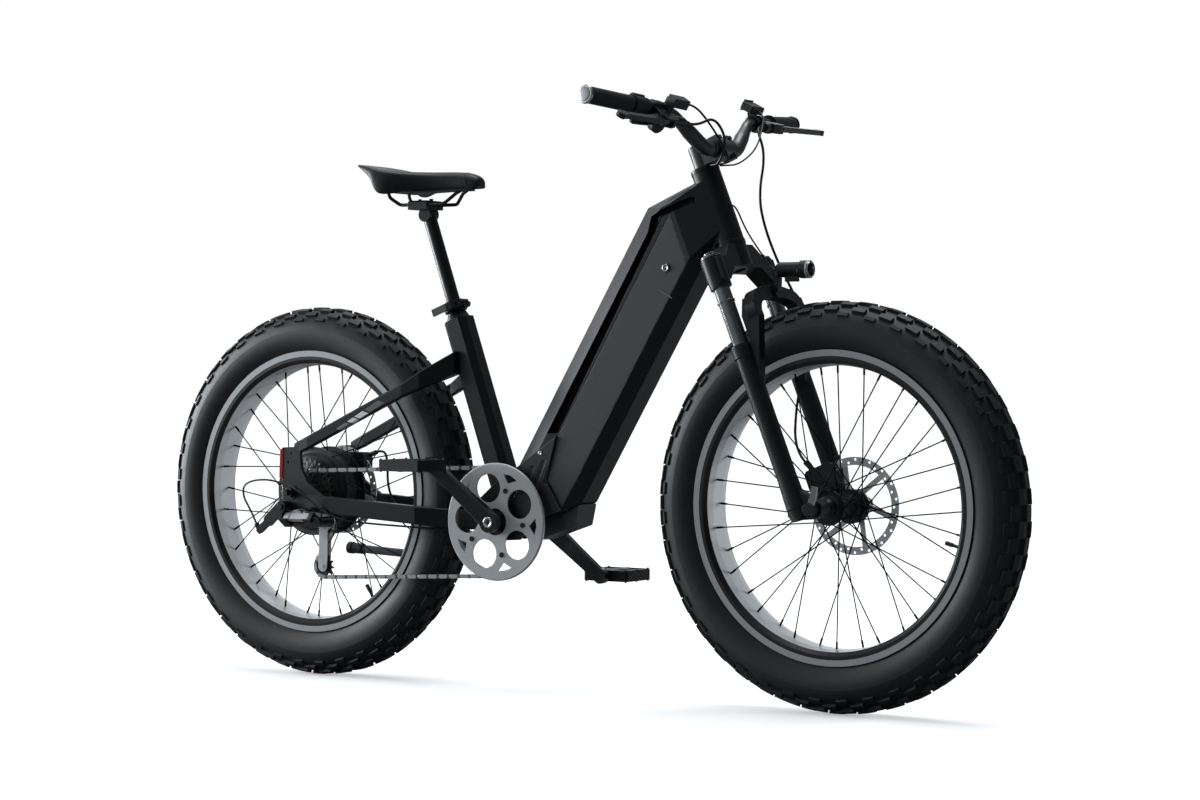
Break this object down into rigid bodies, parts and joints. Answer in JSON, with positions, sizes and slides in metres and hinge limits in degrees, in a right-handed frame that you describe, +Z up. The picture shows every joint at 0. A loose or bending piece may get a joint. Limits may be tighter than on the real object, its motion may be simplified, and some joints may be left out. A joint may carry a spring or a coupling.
{
  "type": "electric fat tire bike",
  "caption": "Electric fat tire bike with a wide angular battery down tube, suspension fork, disc brakes, rear hub motor and a chain drive with derailleur.",
  "frame": {"origin": "on the ground, midway between the two axles, in the wheels' middle plane", "axes": "+X forward, +Y to the rider's left, +Z up; the chain is on the -Y side"},
  "size_m": [1.948, 0.745, 1.1352],
  "materials": {
    "frame_black": "satin black coat",
    "frame_cover": "matte",
    "battery_case": "matte",
    "black_alloy": "anodised satin",
    "grey_alloy": "brushed",
    "rim_alloy": "machined face",
    "steel": "brushed",
    "black_steel": "black",
    "stanchion_black": "gloss hard coat",
    "tyre_rubber": "matte rubber",
    "grip_rubber": "matte",
    "cord_black": "satin",
    "black_plastic": "matte",
    "tail_red": "clear red",
    "saddle_cover": "satin"
  },
  "bodies": {
    "frame": {"down_tube": "frame_black", "seat_tube": "frame_black", "junction_covers": "frame_cover", "chainstays": "frame_black", "seatstays": "frame_black", "battery": "battery_case", "battery_covers": "frame_cover", "lower_cover": "frame_cover", "headset": "black_alloy", "bottom_bracket": "steel", "seat_collar": "frame_black", "motor_axle": "steel", "rear_caliper": "grey_alloy", "tail_lights": "tail_red", "chain": "steel", "derailleur_knuckle": "steel", "control_cables": "cord_black"},
    "steering": {"fork_crown": "black_alloy", "stanchions": "stanchion_black", "stem": "black_alloy", "handlebar": "black_alloy", "grips": "grip_rubber", "display": "black_plastic", "shifter_body": "black_plastic", "brake_brackets": "black_alloy", "front_brake_hose": "cord_black"},
    "fork_slider": {"fork_lowers": "black_alloy", "front_caliper": "grey_alloy", "headlight": "black_plastic"},
    "front_wheel": {"front_tyre": "tyre_rubber", "front_rim": "rim_alloy", "front_spokes": "black_steel", "front_hub": "black_alloy", "front_disc": "steel"},
    "front_axle_lever": {"front_axle": "grey_alloy"},
    "rear_wheel": {"rear_tyre": "tyre_rubber", "rear_rim": "rim_alloy", "rear_spokes": "black_steel", "motor_shell": "black_alloy", "rear_disc": "steel"},
    "cassette_stack": {"cassette": "steel"},
    "cranks": {"crank_arms": "black_alloy", "chainring": "grey_alloy"},
    "pedal_right": {"right_pedal": "black_alloy"},
    "pedal_left": {"left_pedal": "black_alloy"},
    "shift_arm_outer": {"derailleur_outer_link": "grey_alloy"},
    "shift_arm_inner": {"derailleur_inner_link": "grey_alloy"},
    "cage_carrier": {"cage_knuckle": "steel"},
    "cage": {"derailleur_cage": "steel"},
    "upper_pulley": {"guide_pulley": "black_plastic"},
    "lower_pulley": {"tension_pulley": "black_plastic"},
    "brake_lever_right": {"right_brake_lever": "grey_alloy"},
    "brake_lever_left": {"left_brake_lever": "grey_alloy"},
    "thumb_lever": {"shift_lever": "black_plastic"},
    "throttle_sleeve": {"throttle": "grip_rubber"},
    "stand": {"kickstand": "black_alloy"},
    "saddle": {"seatpost": "black_alloy", "saddle_base": "black_plastic", "saddle_pad": "saddle_cover"},
    "clamp_lever": {"seat_lever": "grey_alloy"}
  },
  "joints": [
    {"name": "steering_turn", "type": "hinge", "parent": "frame", "child": "steering", "pos_m": [0.564, 0, 0.374], "axis": [-0.3746, 0, 0.9272], "range_deg": [-35, 35], "deforming": ["control_cables"]},
    {"name": "fork_travel", "type": "slide", "parent": "steering", "child": "fork_slider", "axis": [-0.3746, 0, 0.9272], "range_m": [0, 0.08], "stiffness_N_per_m": 9000, "springref_m": -0.03, "deforming": ["front_brake_hose", "control_cables"]},
    {"name": "front_wheel_spin", "type": "hinge", "parent": "fork_slider", "child": "front_wheel", "pos_m": [0.6, 0, 0.374], "axis": [0, 1, 0], "continuous": true},
    {"name": "front_axle_turn", "type": "hinge", "parent": "fork_slider", "child": "front_axle_lever", "pos_m": [0.6, 0, 0.374], "axis": [0, 1, 0], "range_deg": [-90, 90]},
    {"name": "rear_wheel_spin", "type": "hinge", "parent": "frame", "child": "rear_wheel", "pos_m": [-0.6, 0, 0.374], "axis": [0, 1, 0], "continuous": true},
    {"name": "crank_spin", "type": "hinge", "parent": "frame", "child": "cranks", "pos_m": [-0.115, 0, 0.328], "axis": [0, 1, 0], "continuous": true, "deforming": ["chain"]},
    {"name": "cassette_spin", "type": "hinge", "parent": "frame", "child": "cassette_stack", "pos_m": [-0.6, 0, 0.374], "axis": [0, 1, 0], "continuous": true},
    {"name": "right_pedal_spin", "type": "hinge", "parent": "cranks", "child": "pedal_right", "pos_m": [-0.24523, -0.16, 0.43727], "axis": [0, 1, 0], "continuous": true},
    {"name": "left_pedal_spin", "type": "hinge", "parent": "cranks", "child": "pedal_left", "pos_m": [0.01523, 0.16, 0.21873], "axis": [0, 1, 0], "continuous": true},
    {"name": "derailleur_shift", "type": "hinge", "parent": "frame", "child": "shift_arm_outer", "pos_m": [-0.6, -0.112, 0.325], "axis": [0, 0.6, 0.8], "range_deg": [-25, 18], "deforming": ["chain", "control_cables"]},
    {"name": "inner_link_turn", "type": "hinge", "parent": "frame", "child": "shift_arm_inner", "pos_m": [-0.6, -0.0992, 0.3154], "axis": [0, 0.6, 0.8], "range_deg": [-25, 18]},
    {"name": "cage_carrier_turn", "type": "hinge", "parent": "shift_arm_outer", "child": "cage_carrier", "pos_m": [-0.545, -0.112, 0.325], "axis": [0, 0.6, 0.8], "range_deg": [-18, 25]},
    {"name": "cage_swing", "type": "hinge", "parent": "cage_carrier", "child": "cage", "pos_m": [-0.522, -0.09, 0.316], "axis": [0, -1, 0], "range_deg": [-20, 30], "stiffness_Nm_per_rad": 2, "deforming": ["chain"]},
    {"name": "guide_pulley_spin", "type": "hinge", "parent": "cage", "child": "upper_pulley", "pos_m": [-0.54, -0.062, 0.305], "axis": [0, 1, 0], "continuous": true},
    {"name": "tension_pulley_spin", "type": "hinge", "parent": "cage", "child": "lower_pulley", "pos_m": [-0.54236, -0.062, 0.2256], "axis": [0, 1, 0], "continuous": true},
    {"name": "right_brake_pull", "type": "hinge", "parent": "steering", "child": "brake_lever_right", "pos_m": [0.351, -0.1968, 1.06989], "axis": [-0.5734, 0.0265, -0.8189], "range_deg": [0, 11], "stiffness_Nm_per_rad": 2, "springref_deg": -6.88},
    {"name": "left_brake_pull", "type": "hinge", "parent": "steering", "child": "brake_lever_left", "pos_m": [0.35744, 0.19674, 1.08401], "axis": [0.2418, -0.0346, 0.9697], "range_deg": [0, 11], "stiffness_Nm_per_rad": 2, "springref_deg": -6.88},
    {"name": "shift_lever_push", "type": "hinge", "parent": "steering", "child": "thumb_lever", "pos_m": [0.30781, -0.16058, 1.0696], "axis": [0.8365, -0.1645, -0.5227], "range_deg": [0, 30], "stiffness_Nm_per_rad": 0.5, "springref_deg": -6.88},
    {"name": "throttle_twist", "type": "hinge", "parent": "steering", "child": "throttle_sleeve", "pos_m": [0.31142, -0.228, 1.09659], "axis": [-0.1488, -0.9862, 0.0723], "range_deg": [0, 70], "stiffness_Nm_per_rad": 0.4, "springref_deg": -11.46},
    {"name": "kickstand_swing", "type": "hinge", "parent": "frame", "child": "stand", "pos_m": [-0.372, 0.093, 0.24], "axis": [0, -0.9664, -0.2571], "range_deg": [0, 105]},
    {"name": "seatpost_slide", "type": "slide", "parent": "frame", "child": "saddle", "axis": [-0.3338, 0, 0.9426], "range_m": [-0.14, 0.05]},
    {"name": "seat_lever_swing", "type": "hinge", "parent": "frame", "child": "clamp_lever", "pos_m": [-0.2418, -0.0185, 0.75199], "axis": [-0.3338, 0, 0.9426], "range_deg": [0, 110]}
  ],
  "couplings": [
    {"joint": "cassette_spin", "follows": "crank_spin", "ratio": 2.4762},
    {"joint": "inner_link_turn", "follows": "derailleur_shift", "ratio": 1},
    {"joint": "cage_carrier_turn", "follows": "derailleur_shift", "ratio": -1},
    {"joint": "guide_pulley_spin", "follows": "crank_spin", "ratio": -4.7273},
    {"joint": "tension_pulley_spin", "follows": "crank_spin", "ratio": 4.7273}
  ]
}
